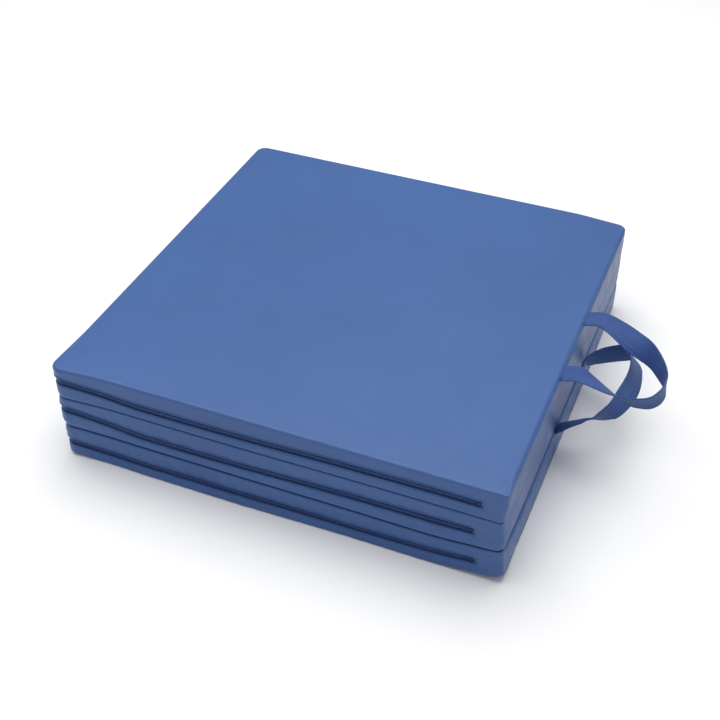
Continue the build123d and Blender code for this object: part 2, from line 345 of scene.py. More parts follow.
def profile(panel, wall_step):
    """Rows of the cover's side from the base face to the top face, each as (height, inset, slot height, slot inset,
    share of the tape's depth, wear). The slot's values hold where the zipper's slot is open."""
    height = TOP_Z[panel] - BASE_Z[panel]
    middle = ZIP_Z[panel] - BASE_Z[panel]
    low, high = ROLL[panel], TOP_ROLL if panel == "top" else ROLL[panel]
    rows = [(0, d, 0, d, 0, 0) for d in FACE_ROWS]
    rows += [(h, d, h, d, 0, 1 if 0 < h < low else FACE_WEAR) for h, d in edge_rows(low, 5)]
    zone = LIP[0][0] * MM

    def wall(start, end):
        count = max(2, round((end - start) / wall_step))
        return [(h, 0, h, 0, 0, 0) for h in np.linspace(start, end, count + 1)[1:-1]]

    rows += wall(low, middle - zone)
    rows += [(middle - v * MM, 0, middle - w * MM, d * MM, k, wear) for v, w, d, k, wear in LIP]
    rows += [(middle, 0, middle, BEHIND_TAPE, 1, 0)]
    upper = [(v, w, d + (UPPER_DEEPER if k == 1 else -UPPER_FULLER if 5 < v < 7 else 0), k, wear)
             for v, w, d, k, wear in LIP[::-1]]
    rows += [(middle + v * MM, 0, middle + w * MM, d * MM, k, wear) for v, w, d, k, wear in upper]
    rows += wall(middle + zone, height - high)
    rows += [(height - h, d, height - h, d, 0, 1 if 0 < h < high else FACE_WEAR)
             for h, d in edge_rows(high, 5)[::-1]]
    rows += [(height, d, height, d, 0, 0) for d in FACE_ROWS[::-1]]
    return np.array(rows)


def cover_mesh(panel, grid, wall_step, slotted, closed=True):
    """Points, faces and wear of a panel's cover, and each point's length along the outline (-1 on the faces).
    Without closed, the middles of the faces are left out."""
    us, vs = stations(REACH - ZIP_START[panel], grid), stations(ZIP_LEFT_Y, grid)
    last_u, last_v = len(us) - 1, len(vs) - 1
    sides = (
        (REACH - us[::-1], [(i, 0) for i in range(last_u, -1, -1)]),
        (vs + REACH, [(0, j) for j in range(last_v + 1)]),
        (us + REACH, [(i, last_v) for i in range(last_u + 1)]),
        (REACH - vs[::-1], [(last_u, j) for j in range(last_v, -1, -1)]),
    )
    lengths, rim = [], []
    for side, (along, cells) in enumerate(sides):
        lengths += (along + side * SIDE_STEP).tolist()
        rim += cells
        for step in range(1, ARC_STEPS):
            lengths.append(side * SIDE_STEP + STRAIGHT + (SIDE_STEP - STRAIGHT) * step / ARC_STEPS)
            rim.append(cells[-1])
    s = np.array(lengths)
    count = len(s)
    rows = profile(panel, wall_step)
    share = slot_share(s, panel) if slotted else np.zeros(count)
    depth = tape_depth(s)
    height = rows[:, 0, None] + (rows[:, 2] - rows[:, 0])[:, None] * share
    inset = rows[:, 1, None] + (rows[:, 3, None] - rows[:, 1, None] + rows[:, 4, None] * depth) * share
    side_points = on_outline(np.broadcast_to(s, height.shape), inset, 0)
    side_points[..., 2] = BASE_Z[panel] + height
    wear = rows[:, 5, None] * np.where((rows[:, 1, None] > 0) | (rows[:, 5, None] == FACE_WEAR), 1, share)
    wear = np.broadcast_to(wear, height.shape)

    xs, ys = np.meshgrid(us, vs, indexing="ij")
    face = np.stack([xs, ys], -1).reshape(-1, 2)
    base = np.concatenate([face, np.full((len(face), 1), BASE_Z[panel])], 1)
    top = np.concatenate([face, np.full((len(face), 1), TOP_Z[panel])], 1)
    points = np.concatenate([side_points.reshape(-1, 3), base, top])
    ring_total = len(rows) * count
    grid_total = len(face)

    def cell(i, j, upper):
        return ring_total + upper * grid_total + i * (last_v + 1) + j

    faces = tube_faces(len(rows), count, False)
    flat_wear = wear.reshape(-1)
    flat_where = np.broadcast_to(s, height.shape).reshape(-1)
    if not closed:
        return points[:ring_total], faces, flat_wear, flat_where
    for upper, row in ((0, 0), (1, len(rows) - 1)):
        for c in range(count):
            d = (c + 1) % count
            a, b = cell(*rim[c], upper), cell(*rim[d], upper)
            faces.append((row * count + c, row * count + d) + ((a,) if a == b else (b, a)))
        faces += grid_faces(last_u + 1, last_v + 1, cell(0, 0, upper))
    total_wear = np.concatenate([flat_wear, np.zeros(2 * grid_total)])
    return points, faces, total_wear, np.concatenate([flat_where, np.full(2 * grid_total, -1.0)])


# ---- the slack, from a cloth simulation of each cover under the padding's pressure ----
SIM_GRID = 9 * MM
SIM_WALL_STEP = 4.5 * MM
SIM_FRAMES = 14
CLOTH_SETTINGS = {
    "quality": 5, "mass": 0.3, "tension_stiffness": 18, "compression_stiffness": 18, "shear_stiffness": 6,
    "bending_stiffness": 0.6, "use_pressure": True, "uniform_pressure_force": 4, "pin_stiffness": 1,
    "shrink_min": -0.010,  # below zero, so the cloth is cut a little too large
}
FACE_SKIN = 0.2 * MM  # points this close to a face's height lie on it
TAPE_BAND = 6.6 * MM  # the walls this close to the zipper are held by its tape
# how firmly points are held, from 0 for free to 1
HOLD_WALL, HOLD_RIGHT, HOLD_TOP, HOLD_EDGE, HOLD_ZIP, HOLD_FACE = 0.004, 0.08, 0.12, 0.9, 0.97, 1.0
# the furthest that points may move
WALL_CAP = 2.2 * MM
EDGE_CAP = 0.45 * MM
TOP_CAP = 0.8 * MM
PRESSED_CAP = 0.14 * MM
FOLD_SIDE_CAP = 0.5 * MM  # the left and right walls, which meet their neighbours in the flat mat


def simulate(panel):
    """Swells a coarse cover and gives its points at rest and how far each moved."""
    points, faces, _, where = cover_mesh(panel, SIM_GRID, SIM_WALL_STEP, False, panel == "top")
    scene = bpy.context.scene
    obj = mesh_object(f"{panel}_swell", points, faces)
    height = points[:, 2] - BASE_Z[panel]
    span = TOP_Z[panel] - BASE_Z[panel]
    normal = outline_at(np.maximum(where, 0))[1]
    faces_sideways = abs(normal[:, 0]) > 0.7
    right_side = (where >= 0) & faces_sideways & (normal[:, 0] > 0)
    on_top_face = height > span - FACE_SKIN
    on_face = (height < FACE_SKIN) | on_top_face
    on_edge = (height < ROLL[panel]) | (height > span - ROLL[panel])
    zipped = (where > ZIP_START[panel]) & (where < ZIP_END) & (abs(points[:, 2] - ZIP_Z[panel]) < TAPE_BAND)
    held = np.where(on_edge, HOLD_EDGE, HOLD_WALL)
    held = np.where(right_side & ~on_edge, HOLD_RIGHT, held)
    held = np.where(on_face, HOLD_FACE, held)
    held = np.where(zipped, HOLD_ZIP, held)
    if panel == "top":
        held = np.where(on_top_face, HOLD_TOP, held)
    group = obj.vertex_groups.new(name="held")
    for i, weight in enumerate(held.tolist()):
        group.add([i], weight, "REPLACE")
    cloth = obj.modifiers.new("Cloth", "CLOTH")
    for key, value in CLOTH_SETTINGS.items():
        setattr(cloth.settings, key, value)
    cloth.settings.vertex_group_mass = "held"
    cloth.settings.effector_weights.gravity = 0
    cloth.collision_settings.use_collision = False
    cloth.point_cache.frame_start = 1
    cloth.point_cache.frame_end = SIM_FRAMES
    for number in range(1, SIM_FRAMES + 1):
        scene.frame_set(number)
    shown = obj.evaluated_get(bpy.context.evaluated_depsgraph_get())
    moved = np.array([v.co for v in shown.data.vertices]) - points
    cap = np.where(on_face, PRESSED_CAP, np.where(on_edge, EDGE_CAP, WALL_CAP))
    if panel == "top":
        cap = np.where(on_top_face, TOP_CAP, cap)
    size = np.linalg.norm(moved, axis=1)
    moved *= (cap * np.tanh(size / cap) / np.maximum(size, 1e-9))[:, None]
    outward = np.where(faces_sideways, (moved[:, :2] * normal).sum(1), 0)
    moved[:, :2] -= normal * np.maximum(outward - FOLD_SIDE_CAP, 0)[:, None]
    mesh = obj.data
    bpy.data.objects.remove(obj)
    bpy.data.meshes.remove(mesh)
    scene.frame_set(1)
    return points, moved


class Slack:
    """The simulated movement of one panel's cover, read at any point."""

    NEIGHBOURS, BLUR = 6, 3 * MM

    def __init__(self, panel):
        self.tree = None
        points, self.moved = simulate(panel)
        self.tree = kdtree.KDTree(len(points))
        for i, p in enumerate(points):
            self.tree.insert(p, i)
        self.tree.balance()

    def at(self, points):
        """How far the cloth moved at each of the points."""
        points = np.asarray(points, float).reshape(-1, 3)
        if self.tree is None:
            return np.zeros_like(points)
        found = np.empty_like(points)
        for i, p in enumerate(points):
            near = self.tree.find_n(p, self.NEIGHBOURS)
            weights = np.array([1 / (d * d + self.BLUR ** 2) for _, _, d in near])
            found[i] = weights @ self.moved[[k for _, k, _ in near]] / weights.sum()
        return found


SLACK = {p: Slack(p) for p in PANELS}


# ======== Materials: all procedural, in the objects' own metres ========
class Shader:
    """A small helper that adds nodes to a material and links them."""

    def __init__(self, name):
        self.material = bpy.data.materials.new(name)
        self.material.use_nodes = True
        self.tree = self.material.node_tree
        self.surface = self.tree.nodes["Principled BSDF"]

    def add(self, kind, inputs=None, **settings):
        node = self.tree.nodes.new(kind)
        for key, value in settings.items():
            setattr(node, key, value)
        for key, value in (inputs or {}).items():
            self.put(node.inputs[key], value)
        return node

    def put(self, socket, value):
        if isinstance(value, bpy.types.NodeSocket):
            self.tree.links.new(value, socket)
        else:
            socket.default_value = value

    def finish_with(self, **values):
        for key, value in values.items():
            self.put(self.surface.inputs[key.replace("_", " ")], value)
        return self.material

    def place(self):
        return self.add("ShaderNodeTexCoord").outputs["Object"]

    def attribute(self, name, output="Fac"):
        return self.add("ShaderNodeAttribute", attribute_name=name).outputs[output]

    def noise(self, where, scale, detail=2, rough=0.5):
        inputs = {"Vector": where, "Scale": scale, "Detail": detail, "Roughness": rough}
        return self.add("ShaderNodeTexNoise", inputs).outputs["Fac"]

    def range(self, value, low, high, start=0.0, end=1.0):
        inputs = {"Value": value, "From Min": start, "From Max": end, "To Min": low, "To Max": high}
        return self.add("ShaderNodeMapRange", inputs).outputs["Result"]

    def math(self, operation, a, b=0.0, c=0.0):
        node = self.add("ShaderNodeMath", operation=operation)
        for socket, value in zip(node.inputs, (a, b, c)):
            self.put(socket, value)
        return node.outputs[0]

    def mix(self, share, a, b):
        node = self.add("ShaderNodeMix", data_type="RGBA")
        colours = [s for s in node.inputs if s.type == "RGBA"]
        self.put(node.inputs[0], share)
        self.put(colours[0], a if not isinstance(a, tuple) else (*a, 1))
        self.put(colours[1], b if not isinstance(b, tuple) else (*b, 1))
        return [s for s in node.outputs if s.type == "RGBA"][0]

    def bump(self, height, distance, strength=1.0, under=None):
        inputs = {"Height": height, "Distance": distance, "Strength": strength}
        if under is not None:
            inputs["Normal"] = under
        return self.add("ShaderNodeBump", inputs).outputs["Normal"]


def scaled(colour, factor):
    return tuple(c * factor for c in colour)


COVER = (0.042, 0.108, 0.305)
NAVY = (0.016, 0.042, 0.150)
STRAP_BLUE = (0.039, 0.096, 0.305)
LACQUER = (0.035, 0.06, 0.17)
# the darker pore colour is painted shade inside the foam's cells; the lighter one is the foam itself
FOAM_SHADED_PORE, FOAM_SKIN = (0.30, 0.26, 0.17), (0.70, 0.64, 0.48)


def coated_cloth(name, colour, grain=1.0):
    """Satin coated cloth: embossed grain, the base cloth's faint weave, colour drift, and rubbed edges."""
    shader = Shader(name)
    where = shader.place()
    drift = shader.noise(where, 6, 3)
    tint = shader.mix(shader.range(drift, 0, 1, 0.3, 0.7), scaled(colour, 0.95), scaled(colour, 1.05))
    fleck = shader.range(shader.noise(where, 900, 2), 0, 1, 0.35, 0.65)
    tint = shader.mix(shader.math("MULTIPLY", fleck, 0.10), tint, scaled(colour, 0.7))
    wear = shader.math("MULTIPLY", shader.attribute("wear"), shader.range(shader.noise(where, 60, 4), 0, 1, 0.4, 0.65))
    tint = shader.mix(shader.math("MULTIPLY", wear, 0.22), tint, tuple(0.75 * c + 0.06 for c in colour))
    cells = shader.add("ShaderNodeTexVoronoi", {"Vector": where, "Scale": 620.0, "Randomness": 0.9},
                       feature="SMOOTH_F1").outputs["Distance"]
    weave = shader.add("ShaderNodeTexWave", {"Vector": where, "Scale": 210.0, "Distortion": 0.4},
                       wave_type="BANDS", bands_direction="DIAGONAL").outputs["Fac"]
    ripple = shader.noise(where, 14, 2)
    soft = shader.bump(ripple, 1.2 * MM, 0.25)
    grained = shader.bump(shader.math("ADD", cells, shader.math("MULTIPLY", weave, 0.12)), 0.10 * MM, 0.6 * grain, soft)
    rough = shader.range(shader.noise(where, 35, 3), 0.37, 0.46, 0.3, 0.7)
    rough = shader.math("ADD", rough, shader.math("MULTIPLY", wear, -0.06))
    return shader.finish_with(Base_Color=tint, Roughness=rough, Normal=grained, Specular_IOR_Level=0.36)


def woven(name, colour, rib, pitch, rough, sheen):
    """Webbing or tape, with painted shade that darkens its weave's valleys. Its points carry their place across and
    along it, in metres, as the attribute 'weave'.
    """
    shader = Shader(name)
    place = shader.add("ShaderNodeSeparateXYZ", {"Vector": shader.attribute("weave", "Vector")})
    across, along = place.outputs["X"], place.outputs["Y"]
    ribs = shader.math("SINE", shader.math("MULTIPLY", across, 2 * math.pi / rib))
    stagger = shader.math("MULTIPLY", ribs, pitch * 0.25)
    picks = shader.math("SINE", shader.math("MULTIPLY", shader.math("ADD", along, stagger), 2 * math.pi / pitch))
    cloth = shader.math("ADD", shader.math("MULTIPLY", ribs, 0.5), shader.math("MULTIPLY", picks, 0.5))
    where = shader.place()
    fuzz = shader.noise(where, 1600, 3)
    # painted shade: the weave's low places, its valleys between ribs and picks, get a darker colour
    painted_valley_shade = shader.range(cloth, 0.78, 1.08, -1, 1)
    drift = shader.range(shader.noise(where, 30, 3), 0, 1, 0.3, 0.7)
    tint = shader.mix(drift, scaled(colour, 0.9), scaled(colour, 1.08))
    # the painted valley shade darkens the colour towards 0.35 of it
    tint = shader.mix(shader.math("SUBTRACT", 1.08, painted_valley_shade), tint, scaled(colour, 0.35))
    lengthwise = {"X": shader.math("MULTIPLY", across, 420), "Y": shader.math("MULTIPLY", along, 14)}
    streak = shader.noise(shader.add("ShaderNodeCombineXYZ", lengthwise).outputs[0], 1, 3, 0.6)
    tint = shader.mix(shader.range(streak, 0, 0.45, 0.42, 0.7), tint, scaled(colour, 0.45))
    height = shader.math("ADD", cloth, shader.math("MULTIPLY", fuzz, 0.6))
    bumped = shader.bump(height, 0.16 * MM, 0.8)
    roughness = shader.range(fuzz, rough - 0.07, rough + 0.07)
    return shader.finish_with(Base_Color=tint, Roughness=roughness, Normal=bumped, Sheen_Weight=sheen,
                              Sheen_Roughness=0.4, Specular_IOR_Level=0.3)


def thread(name, colour):
    """Twisted sewing thread."""
    shader = Shader(name)
    where = shader.place()
    twist = shader.add("ShaderNodeTexWave", {"Vector": where, "Scale": 700.0, "Distortion": 1.0},
                       wave_type="BANDS", bands_direction="DIAGONAL").outputs["Fac"]
    tint = shader.mix(twist, scaled(colour, 0.65), scaled(colour, 1.1))
    rough = shader.range(twist, 0.45, 0.62)
    return shader.finish_with(Base_Color=tint, Roughness=rough, Normal=shader.bump(twist, 0.08 * MM))


def moulded(name, colour, rough, metallic=0.0):
    """Nylon coil or lacquered metal, with fine scuffs."""
    shader = Shader(name)
    where = shader.place()
    scuffs = shader.noise(where, 1100, 4, 0.65)
    tint = shader.mix(shader.range(scuffs, 0, 1, 0.35, 0.7), scaled(colour, 0.8), scaled(colour, 1.25))
    roughness = shader.range(scuffs, rough - 0.08, rough + 0.1, 0.3, 0.7)
    bumped = shader.bump(shader.noise(where, 500, 3), 0.04 * MM, 0.5)
    return shader.finish_with(Base_Color=tint, Roughness=roughness, Normal=bumped, Metallic=metallic)


def open_cell_foam(name):
    shader = Shader(name)
    where = shader.place()
    cells = shader.add("ShaderNodeTexVoronoi", {"Vector": where, "Scale": 520.0}, feature="F1").outputs["Distance"]
    # painted shade: the cells' hollows, low in the bump, take the darker pore colour
    tint = shader.mix(shader.range(cells, 0, 1, 0.1, 0.6), FOAM_SHADED_PORE, FOAM_SKIN)
    rough = shader.range(cells, 0.8, 0.95)
    return shader.finish_with(Base_Color=tint, Roughness=rough, Normal=shader.bump(cells, 0.5 * MM))


CLOTH = coated_cloth("coated_cloth", COVER)
FOLD_CLOTH = coated_cloth("fold_cloth", scaled(COVER, 0.97), 1.2)
WEBBING = woven("webbing", STRAP_BLUE, 2.5 * MM, 1.5 * MM, 0.66, 0.08)
TAPE = woven("zipper_tape", NAVY, 1.1 * MM, 0.9 * MM, 0.7, 0.03)
COIL = moulded("zipper_coil", scaled(NAVY, 1.9), 0.26)
METAL = moulded("zipper_metal", LACQUER, 0.36, 0.6)
THREAD = thread("sewing_thread", scaled(COVER, 0.75))
FOAM = open_cell_foam("foam")


def finish_piece(obj, material, body, replaced=()):
    obj.data.materials.append(material)
    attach(obj, body)
    if replaced:
        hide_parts(*replaced)


# ======== Covers and foam ========
STREAK = 0.26 * MM  # faint folds between the zipper's right end and the corner
STREAK_IN, STREAK_OUT = (-20 * MM, 12 * MM), (-10 * MM, 12 * MM)
SEAM = 0.8 * MM  # the seam that goes on beyond that end
SEAM_IN, SEAM_OUT, SEAM_WIDTH = (-18 * MM, 10 * MM), (-4 * MM, 8 * MM), 1.0 * MM
PUCKER = 0.55 * MM
PUCKER_PHASE = {"bottom": 0.0, "middle": 1.9, "top": 4.1}


def ruffle(points, where, panel):
    """Small folds that a coarse simulation leaves out. Points move along the wall's normal."""
    normal = outline_at(np.maximum(where, 0))[1]
    height = points[:, 2] - BASE_Z[panel]
    span = TOP_Z[panel] - BASE_Z[panel]
    on_wall = (where >= 0) & (height > 0.5 * MM) & (height < span - 0.5 * MM)
    between = np.sin(np.pi * np.clip(height / span, 0, 1))
    phase = PUCKER_PHASE[panel]
    distance = (where - STREAK_IN[0]) % (4 * SIDE_STEP) + STREAK_IN[0]
    from_zip = distance - ZIP_START[panel]
    streaks = ramp(distance, *STREAK_IN) * fade(from_zip, *STREAK_OUT)
    moved = STREAK * streaks * np.sin(height / (2.1 * MM) + distance / (9 * MM) + phase)
    hem = ZIP_Z[panel] - BASE_Z[panel] - HEM
    moved -= SEAM * fade(from_zip, *SEAM_OUT) * ramp(distance, *SEAM_IN) * hump(height, hem, SEAM_WIDTH)
    for i in np.nonzero(on_wall)[0]:
        p = Vector((points[i, 0] * 12, points[i, 1] * 12, points[i, 2] * 90 + phase * 7))
        moved[i] += PUCKER * noise.noise(p)
    moved *= on_wall * between
    shifted = points.copy()
    shifted[:, :2] += normal * moved[:, None]
    return shifted


def make_cover(panel):
    points, faces, wear, where = cover_mesh(panel, GRID, WALL_STEP, True)
    placed = settle(ruffle(points, where, panel) + SLACK[panel].at(points), panel)
    placed[:, 2] = np.maximum(placed[:, 2], BASE_Z["bottom"])
    obj = mesh_object(f"{panel}_cover", placed, faces)
    point_attribute(obj, "wear", wear)
    replaced = [f"{panel}_{part}" for part in
                ("face_sheet", "base_sheet", "plain_band", "zip_band_upper", "zip_band_lower")]
    finish_piece(obj, CLOTH, f"{panel}_panel", replaced)


FOAM_SIDE, FOAM_FACE = 9 * MM, 2 * MM  # how far the foam stays inside the cover


def make_foam(panel):
    """The foam block, a little inside the cover."""
    low, high = BASE_Z[panel] + FOAM_FACE, TOP_Z[panel] - FOAM_FACE
    rows = [(d, h) for h, d in edge_rows(3 * MM, 3)]
    rows += [(d, high - low - h) for d, h in rows[::-1]]
    s = np.concatenate([side * SIDE_STEP + np.append(np.linspace(0, STRAIGHT, 30)[:-1],
                        np.linspace(STRAIGHT, SIDE_STEP, 5)[:-1]) for side in range(4)])
    rings = [on_outline(s, np.full(len(s), FOAM_SIDE + d), low + h) for d, h in rows]
    points = settle(np.concatenate(rings), panel)
    obj = mesh_object(f"{panel}_foam", points, tube_faces(len(rows), len(s)))
    finish_piece(obj, FOAM, f"{panel}_panel", [f"{panel}_foam_core"])


# ======== Zippers and stitches ========
def bead(length, width, height, rings=5, sides=6):
    """Template of a small rounded bar along x."""
    points = [(-1, 0, 0)]
    for a in (math.pi * k / (rings + 1) for k in range(1, rings + 1)):
        radius = math.sin(a) ** 0.5
        turns = [2 * math.pi * i / sides for i in range(sides)]
        points += [(-math.cos(a), radius * math.cos(turn), radius * math.sin(turn)) for turn in turns]
    points.append((1, 0, 0))
    faces = [(0, 1 + (i + 1) % sides, 1 + i) for i in range(sides)]
    faces += [tuple(v + 1 for v in face) for face in tube_faces(rings, sides, False)]
    tip = len(points) - 1
    start = tip - sides
    faces += [(start + i, start + (i + 1) % sides, tip) for i in range(sides)]
    return np.array(points) * (length / 2, width / 2, height / 2), faces


def scatter(name, template, centres, ahead, side, out):
    """One mesh of the template repeated at the centres, turned to the three directions given for each."""
    shape, faces = template
    points = (centres[:, None] + shape[None, :, 0, None] * ahead[:, None] + shape[None, :, 1, None] * side[:, None]
              + shape[None, :, 2, None] * out[:, None])
    total = [tuple(v + i * len(shape) for v in face) for i in range(len(centres)) for face in faces]
    return mesh_object(name, points.reshape(-1, 3), total)


def frame_at(s):
    """Directions along the outline, up, and out, at lengths s."""
    normal = outline_at(s)[1]
    out = np.concatenate([normal, np.zeros((len(s), 1))], 1)
    up = np.broadcast_to((0.0, 0.0, 1.0), out.shape)
    return np.cross(out, up), up, out


def swept(panel, s, z, section):
    """A closed bar along a panel's outline. section is (height, inset under the tape's depth) round its outline."""
    rings = np.stack([on_outline(s, tape_depth(s) + d, z + v) for v, d in section], 1)
    return settle(rings, panel).reshape(-1, 3), tube_faces(len(s), len(section))


TAPE_STEP = 2.5 * MM
TAPE_THICK = 0.6  # in millimetres, as is the section below
UPPER_DROP = 1.7  # how much deeper the upper tape's outer edge lies
COIL_PITCH = 1.7 * MM
COIL_RISE = 0.95 * MM
COIL_PROUD, STOP_PROUD = 0.65 * MM, 0.7 * MM
SUNK = 0.12 * MM  # how deep the stitches sit in the cover
STITCH_PITCH = 3.6 * MM


def make_zipper(panel):
    z = ZIP_Z[panel]
    body = f"{panel}_panel"
    s = np.arange(ZIP_START[panel] + 0.5 * MM, ZIP_END - 0.5 * MM, TAPE_STEP)
    tapes, tape_faces, weave = [], [], []
    for sign, drop in ((1, UPPER_DROP), (-1, 0.0)):
        section = [(sign * v * MM, d * MM) for v, d in
                   ((0.5, 0), (1.9, -0.05), (2.9, 0.65 * drop), (4.2, drop), (5.7, drop), (5.7, drop + TAPE_THICK),
                    (4.0, drop + TAPE_THICK), (2.7, 0.65 * drop + TAPE_THICK), (0.5, TAPE_THICK))]
        points, faces = swept(panel, s, z, section)
        offset = sum(len(t) for t in tapes)
        tapes.append(points)
        tape_faces += [tuple(v + offset for v in face) for face in faces]
        weave.append(np.stack([np.tile([v for v, _ in section], len(s)), np.repeat(s, len(section)),
                               np.zeros(len(s) * len(section))], 1))
    tape = mesh_object(f"{panel}_zipper_tape", np.concatenate(tapes), tape_faces)
    point_attribute(tape, "weave", np.concatenate(weave), "FLOAT_VECTOR")
    finish_piece(tape, TAPE, body, [f"{panel}_zip_tape_upper", f"{panel}_zip_tape_lower"])

    teeth = np.arange(ZIP_START[panel] + 3 * MM, ZIP_END - 3 * MM, COIL_PITCH)
    both = np.concatenate([teeth, teeth + COIL_PITCH / 2])
    ahead, up, out = frame_at(both)
    centres = on_outline(both, tape_depth(both) - COIL_PROUD, z)
    centres[:, 2] += np.repeat([COIL_RISE, -COIL_RISE], len(teeth))
    coil = scatter(f"{panel}_zipper_coil", bead(2.7 * MM, 1.15 * MM, 1.3 * MM, 4), settle(centres, panel),
                   up + 0.12 * ahead, ahead, out)
    finish_piece(coil, COIL, body, [f"{panel}_zip_coil_upper", f"{panel}_zip_coil_lower"])

    ends = np.array([ZIP_START[panel] + 1.5 * MM, ZIP_END - 1.5 * MM])
    ahead, up, out = frame_at(ends)
    centres = settle(on_outline(ends, tape_depth(ends) - STOP_PROUD, z), panel)
    stops = scatter(f"{panel}_zipper_stops", bead(4.4 * MM, 2.4 * MM, 1.8 * MM, 7, 12), centres, up, ahead, out)
    finish_piece(stops, METAL, body, [f"{panel}_zip_stops"])

    row = np.arange(ZIP_START[panel] - 1 * MM, ZIP_END + 1 * MM, STITCH_PITCH)
    both = np.tile(row, 2)
    ahead, up, out = frame_at(both)
    centres = on_outline(both, np.full(len(both), SUNK), z)
    centres[:, 2] += np.repeat([HEM, -HEM], len(row))
    centres = settle(centres + SLACK[panel].at(centres), panel)
    seam = scatter(f"{panel}_zipper_stitches", bead(2.7 * MM, 0.55 * MM, 0.5 * MM), centres, ahead, up, out)
    finish_piece(seam, THREAD, body)

    for node in (f"{panel}_zip_slider", f"{panel}_pull_tab"):
        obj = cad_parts[node]
        obj.data.materials.clear()
        obj.data.materials.append(METAL)
        soft = obj.modifiers.new("soft_edges", "BEVEL")
        soft.width = 0.25 * MM
        soft.segments = 2
        soft.limit_method = "ANGLE"


# ======== Spine and strip: cloth over the folds ========
CLOTH_THICK, CLOTH_CLEAR = 0.8 * MM, 0.25 * MM
BULGE_SHARE = 0.45  # how much of the walls' bulge it follows
FOLD_WAVE = 0.45 * MM
FOLD_DIP, FOLD_DIP_WIDTH = 1.1 * MM, 3.2 * MM
FOLD_BLEND = 4 * MM  # its two halves merge over twice this height
SEWN_RIM = 4 * MM  # the band along its edges that is sewn into the walls
SPINE_Z = (51.8 * MM, 145.8 * MM)


def fold_cloth(name, side, low, high, lower, upper, fold_z, replaced):
    """A band of cloth over two panels' walls on one side (+1 right, -1 left). It dips in at the fold, where its two
    halves merge.
    """
    ys = np.linspace(low.y, high.y, 96)
    zs = np.linspace(low.z, high.z, 34 if side > 0 else 16)
    grid_y, grid_z = np.meshgrid(ys, zs, indexing="ij")
    flat = np.stack([np.full_like(grid_y, side * HALF), grid_y, grid_z], -1).reshape(-1, 3)
    moved = {}
    for panel in (lower, upper):
        probe = flat.copy()
        probe[:, 2] = np.clip(probe[:, 2], BASE_Z[panel] + ROLL[panel] + 1 * MM, TOP_Z[panel] - ROLL[panel] - 1 * MM)
        moved[panel] = SLACK[panel].at(probe)[:, 0] * side * BULGE_SHARE
    share = ramp(flat[:, 2] - fold_z, -FOLD_BLEND, 2 * FOLD_BLEND)
    out = moved[lower] * (1 - share) + moved[upper] * share
    drift = np.array([noise.noise(Vector((p[1] * 6, p[2] * 70, 3.0 + side))) for p in flat])
    out = np.maximum(out, 0) + np.maximum(FOLD_WAVE * (drift + 0.5), 0) + CLOTH_CLEAR
    out -= FOLD_DIP * hump(flat[:, 2], fold_z, FOLD_DIP_WIDTH)
    rim = np.minimum(np.minimum(flat[:, 1] - low.y, high.y - flat[:, 1]),
                     np.minimum(flat[:, 2] - low.z, high.z - flat[:, 2]))
    out -= (out + CLOTH_THICK + 0.15 * MM) * fade(rim, 0, SEWN_RIM)
    inner, outer = flat.copy(), flat.copy()
    inner[:, 0] += side * out
    outer[:, 0] += side * (out + CLOTH_THICK)
    count_y, count_z = len(ys), len(zs)
    total = count_y * count_z

    def at(i, j, layer):
        return layer * total + i * count_z + j

    faces = grid_faces(count_y, count_z) + grid_faces(count_y, count_z, total)
    for j in (0, count_z - 1):
        faces += [(at(i, j, 0), at(i + 1, j, 0), at(i + 1, j, 1), at(i, j, 1)) for i in range(count_y - 1)]
    for i in (0, count_y - 1):
        faces += [(at(i, j, 0), at(i, j + 1, 0), at(i, j + 1, 1), at(i, j, 1)) for j in range(count_z - 1)]
    obj = mesh_object(name, settle(np.concatenate([inner, outer])), faces)
    from_fold = np.abs(np.tile(flat[:, 2], 2) - fold_z)
    point_attribute(obj, "wear", (from_fold < 3 * MM) * 0.6)
    obj.data.materials.append(FOLD_CLOTH)
    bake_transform(obj)
    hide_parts(*replaced)


# ======== Handles ========
# Each is a strap's centre line: (x, y, z, roll in degrees). Roll 0 lays the strap flat, 90 stands its outer edge up.
UPPER_LINE = (
    (0.3003, -0.0660, 0.1466, 0), (0.3173, -0.0657, 0.1512, -2), (0.3351, -0.0710, 0.1499, 16),
    (0.3666, -0.0851, 0.1491, 40), (0.3892, -0.0904, 0.1494, 56), (0.4074, -0.0861, 0.1497, 66),
    (0.4179, -0.0755, 0.1499, 83), (0.4238, -0.0585, 0.1494, 92), (0.4231, -0.0379, 0.1485, 92),
    (0.4120, -0.0150, 0.1480, 84), (0.3953, 0.0075, 0.1481, 72), (0.3679, 0.0287, 0.1479, 34),
    (0.3439, 0.0462, 0.1490, 12), (0.3214, 0.0543, 0.1512, 4), (0.3003, 0.0550, 0.1466, 0),
)
LOWER_LINE = (
    (0.3003, -0.0600, 0.0468, 18), (0.3200, -0.0540, 0.0580, 27), (0.3369, -0.0513, 0.0675, 30),
    (0.3525, -0.0527, 0.0773, 46), (0.3613, -0.0507, 0.0861, 82), (0.3686, -0.0425, 0.0910, 110),
    (0.3744, -0.0263, 0.0952, 127), (0.3783, -0.0054, 0.0960, 133), (0.3794, 0.0152, 0.0965, 131),
    (0.3772, 0.0373, 0.0958, 129), (0.3716, 0.0581, 0.0932, 128), (0.3607, 0.0780, 0.0876, 122),
    (0.3471, 0.0866, 0.0768, 106), (0.3300, 0.0890, 0.0659, 102), (0.3150, 0.0865, 0.0563, 109),
    (0.3070, 0.0830, 0.0505, 118), (0.3003, 0.0800, 0.0468, 150),
)
